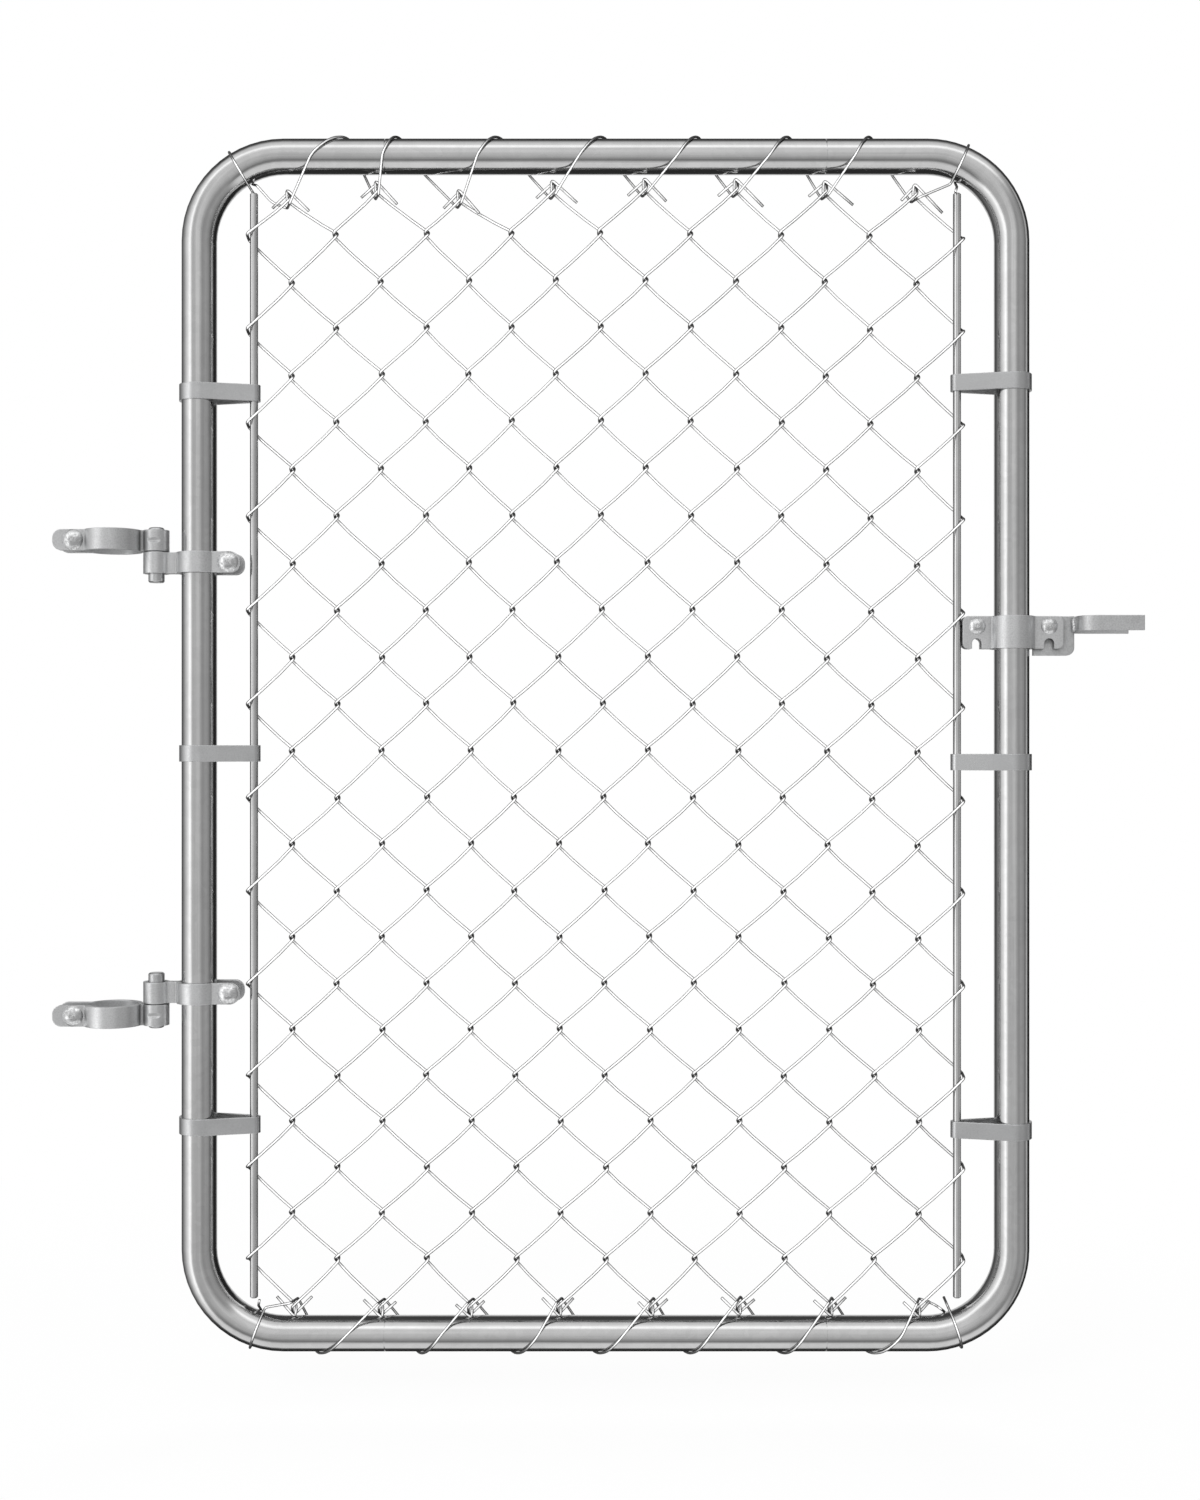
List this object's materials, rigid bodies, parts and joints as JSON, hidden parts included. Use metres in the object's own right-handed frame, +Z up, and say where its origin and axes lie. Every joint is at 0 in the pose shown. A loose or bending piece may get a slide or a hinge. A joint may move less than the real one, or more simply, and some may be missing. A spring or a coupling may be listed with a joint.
{
  "type": "chain link gate",
  "caption": "Chain link walk gate: bent round tube frame, woven wire mesh on tension bars, clamp-on pin hinges and a fork latch that lifts.",
  "frame": {"origin": "on the axis of the hinge post, half way up the lower post strap", "axes": "+X from the hinge post to the latch side, +Y to the back of the gate, +Z up along the post"},
  "size_m": [1.0798, 0.0584, 1.2179],
  "materials": {
    "galvanised_tube": "galvanised, satin",
    "galvanised_wire": "galvanised, satin",
    "lacing_wire": "galvanised, satin",
    "galvanised_bar": "galvanised, satin",
    "band_steel": "galvanised, satin",
    "strap_steel": "galvanised, satin",
    "pin_steel": "galvanised, satin",
    "zinc_fastener": "galvanised, satin",
    "fork_steel": "galvanised, satin"
  },
  "bodies": {
    "post_hinges": {"lower_hinge_pin": "pin_steel", "lower_post_bolt": "zinc_fastener", "lower_post_nut": "zinc_fastener", "lower_post_strap": "strap_steel", "upper_hinge_pin": "pin_steel", "upper_post_bolt": "zinc_fastener", "upper_post_nut": "zinc_fastener", "upper_post_strap": "strap_steel"},
    "gate_leaf": {"bottom_lacing_wire": "lacing_wire", "bottom_rail": "galvanised_tube", "chain_link_mesh": "galvanised_wire", "latch_clamp_bolt": "zinc_fastener", "latch_clamp_nut": "zinc_fastener", "latch_collar_back": "strap_steel", "latch_collar_front": "strap_steel", "latch_pivot_bolt": "zinc_fastener", "latch_pivot_nut": "zinc_fastener", "left_lower_band": "band_steel", "left_middle_band": "band_steel", "left_side_tube": "galvanised_tube", "left_tension_bar": "galvanised_bar", "left_upper_band": "band_steel", "lower_gate_bolt": "zinc_fastener", "lower_gate_nut": "zinc_fastener", "lower_gate_strap": "strap_steel", "right_lower_band": "band_steel", "right_middle_band": "band_steel", "right_side_tube": "galvanised_tube", "right_tension_bar": "galvanised_bar", "right_upper_band": "band_steel", "top_lacing_wire": "lacing_wire", "top_rail": "galvanised_tube", "upper_gate_bolt": "zinc_fastener", "upper_gate_nut": "zinc_fastener", "upper_gate_strap": "strap_steel"},
    "fork": {"fork_plate": "fork_steel", "fork_tines": "fork_steel"}
  },
  "joints": [
    {"name": "gate_swing", "type": "hinge", "parent": "post_hinges", "child": "gate_leaf", "pos_m": [0.043, 0, 0], "axis": [0, 0, 1], "range_deg": [-105, 105]},
    {"name": "fork_lift", "type": "hinge", "parent": "gate_leaf", "child": "fork", "pos_m": [0.93395, 0, 0.3875], "axis": [0, -1, 0], "range_deg": [0, 95]}
  ]
}
